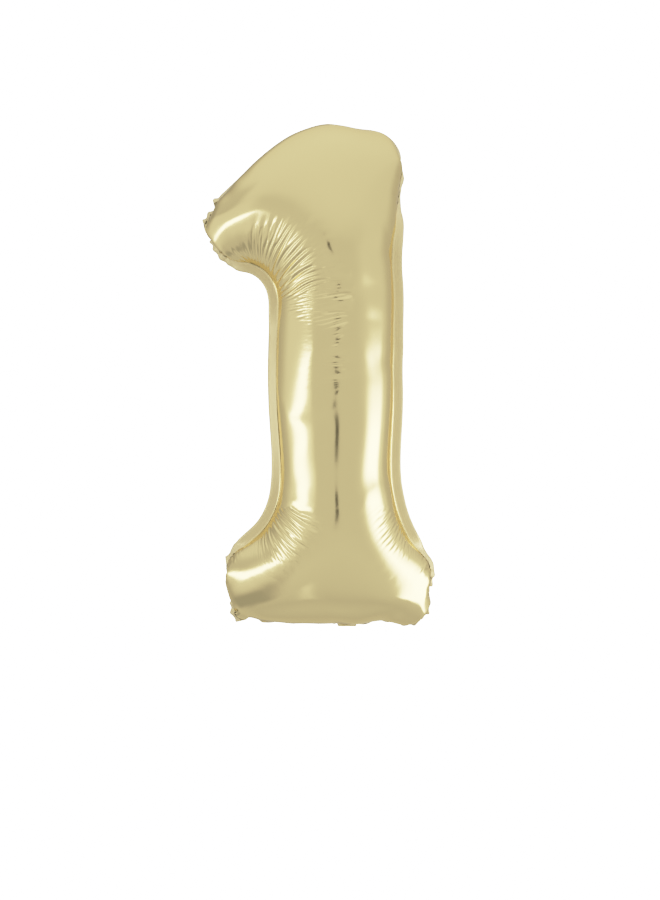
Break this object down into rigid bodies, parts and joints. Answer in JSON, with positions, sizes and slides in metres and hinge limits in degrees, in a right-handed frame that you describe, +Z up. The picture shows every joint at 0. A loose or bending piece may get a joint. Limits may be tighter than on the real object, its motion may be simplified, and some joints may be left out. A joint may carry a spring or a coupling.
{
  "type": "foil number balloon",
  "caption": "Inflated foil balloon in the shape of the figure one: two films welded along a flat rim, with a valve and a folding inflation tail.",
  "frame": {"origin": "under the middle of the balloon: the middle of its width and of its depth, at the height of its lowest edge", "axes": "+Z up along the stem of the figure, -Y is the side from which the figure reads correctly, +X to the right as seen from that side"},
  "size_m": [0.3964, 0.2314, 0.8594],
  "materials": {
    "foil": "metallised film, pale champagne gold, satin mirror",
    "foil_tail": "metallised film, pale champagne gold, lightly crumpled",
    "valve_strip": "clear milky polyethylene strip"
  },
  "bodies": {
    "balloon": {"front_film": "foil", "back_film": "foil", "valve_front_strip": "valve_strip", "valve_back_strip": "valve_strip"},
    "tail": {"tail_front_film": "foil_tail", "tail_back_film": "foil_tail"}
  },
  "joints": [
    {"name": "tail_fold", "type": "hinge", "parent": "balloon", "child": "tail", "pos_m": [0.049, 0, 0.00055], "axis": [1, 0, 0], "range_deg": [-180, 12]}
  ]
}
